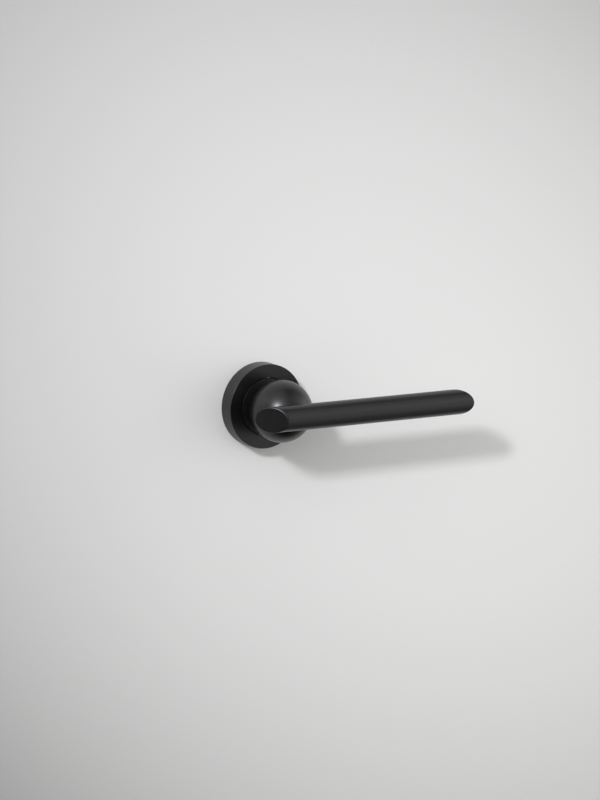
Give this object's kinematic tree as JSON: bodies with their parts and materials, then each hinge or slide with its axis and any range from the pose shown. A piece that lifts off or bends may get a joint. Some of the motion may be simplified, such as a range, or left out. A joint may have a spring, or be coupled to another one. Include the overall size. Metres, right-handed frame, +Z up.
{
  "type": "lever handle lockset",
  "caption": "Passage lever handle set: straight round bar on a ball neck over a round rose, mirrored inside, with square spindle, through bolts and a tubular latch.",
  "frame": {"origin": "on the spindle axis, in the plane of the door's outer face, which is the plane the outer rose seats on", "axes": "+X along the outer lever, away from the door's edge; +Y into the door, along the spindle from the outer to the inner side; +Z up"},
  "size_m": [0.1929, 0.1508, 0.057],
  "materials": {
    "black_coat": "satin black powder coat with a fine even grain",
    "black_nylon": "moulded black nylon, matt",
    "zinc_casting": "bare die-cast zinc alloy, dull grey",
    "nickel_casting": "nickel-plated zinc casting, satin",
    "zinc_plated_steel": "bright zinc plating, slightly blue and cloudy",
    "satin_stainless": "stainless steel brushed along its length",
    "bright_steel": "turned steel",
    "spring_steel": "drawn spring wire, lightly oiled",
    "black_oxide_steel": "black oxide, lightly oiled"
  },
  "bodies": {
    "door_hardware": {"outer_bearing_bush": "black_nylon", "outer_rose_cover": "black_coat", "outer_rose_base": "zinc_casting", "outer_return_spring": "spring_steel", "inner_bearing_bush": "black_nylon", "inner_rose_cover": "black_coat", "inner_rose_base": "zinc_casting", "inner_return_spring": "spring_steel", "sleeve_nuts": "zinc_plated_steel", "through_bolts": "zinc_plated_steel", "latch_faceplate": "satin_stainless", "latch_forend": "zinc_plated_steel", "latch_barrel": "zinc_plated_steel", "latch_spring": "spring_steel", "latch_spring_seat": "zinc_plated_steel", "latch_outer_side_plate": "zinc_plated_steel", "latch_inner_side_plate": "zinc_plated_steel", "latch_front_rivets": "bright_steel", "latch_rear_rivets": "bright_steel"},
    "outer_lever": {"outer_lever_bar": "black_coat", "outer_ball_hub": "black_coat", "outer_bar_screw": "black_oxide_steel", "outer_bar_dowels": "bright_steel", "outer_grub_screw": "black_oxide_steel", "outer_spring_driver": "zinc_plated_steel", "outer_thrust_washer": "zinc_plated_steel", "outer_circlip": "black_oxide_steel", "spindle": "zinc_plated_steel"},
    "inner_lever": {"inner_lever_bar": "black_coat", "inner_ball_hub": "black_coat", "inner_bar_screw": "black_oxide_steel", "inner_bar_dowels": "bright_steel", "inner_grub_screw": "black_oxide_steel", "inner_spring_driver": "zinc_plated_steel", "inner_thrust_washer": "zinc_plated_steel", "inner_circlip": "black_oxide_steel"},
    "latch_follower": {"latch_hub": "zinc_casting"},
    "latch_bolt_and_yoke": {"latch_bolt": "nickel_casting", "latch_yoke": "zinc_plated_steel"}
  },
  "joints": [
    {"name": "outer_lever_turn", "type": "hinge", "parent": "door_hardware", "child": "outer_lever", "pos_m": [0, 0, 0], "axis": [0, 1, 0], "range_deg": [0, 56], "stiffness_Nm_per_rad": 0.45, "springref_deg": -60.16, "deforming": ["outer_return_spring"]},
    {"name": "inner_lever_turn", "type": "hinge", "parent": "door_hardware", "child": "inner_lever", "pos_m": [0, 0.04, 0], "axis": [0, 1, 0], "range_deg": [0, 56], "stiffness_Nm_per_rad": 0.45, "springref_deg": -60.16, "deforming": ["inner_return_spring"]},
    {"name": "latch_follower_turn", "type": "hinge", "parent": "door_hardware", "child": "latch_follower", "pos_m": [0, 0.02, 0], "axis": [0, 1, 0], "range_deg": [0, 56]},
    {"name": "latch_bolt_slide", "type": "slide", "parent": "door_hardware", "child": "latch_bolt_and_yoke", "axis": [1, 0, 0], "range_m": [0, 0.00968], "stiffness_N_per_m": 400, "springref_m": -0.012, "deforming": ["latch_spring"]}
  ],
  "couplings": [
    {"joint": "inner_lever_turn", "follows": "outer_lever_turn", "ratio": 1},
    {"joint": "latch_follower_turn", "follows": "outer_lever_turn", "ratio": 1},
    {"joint": "latch_bolt_slide", "follows": "outer_lever_turn", "m_per_rad": 0.0098949}
  ]
}
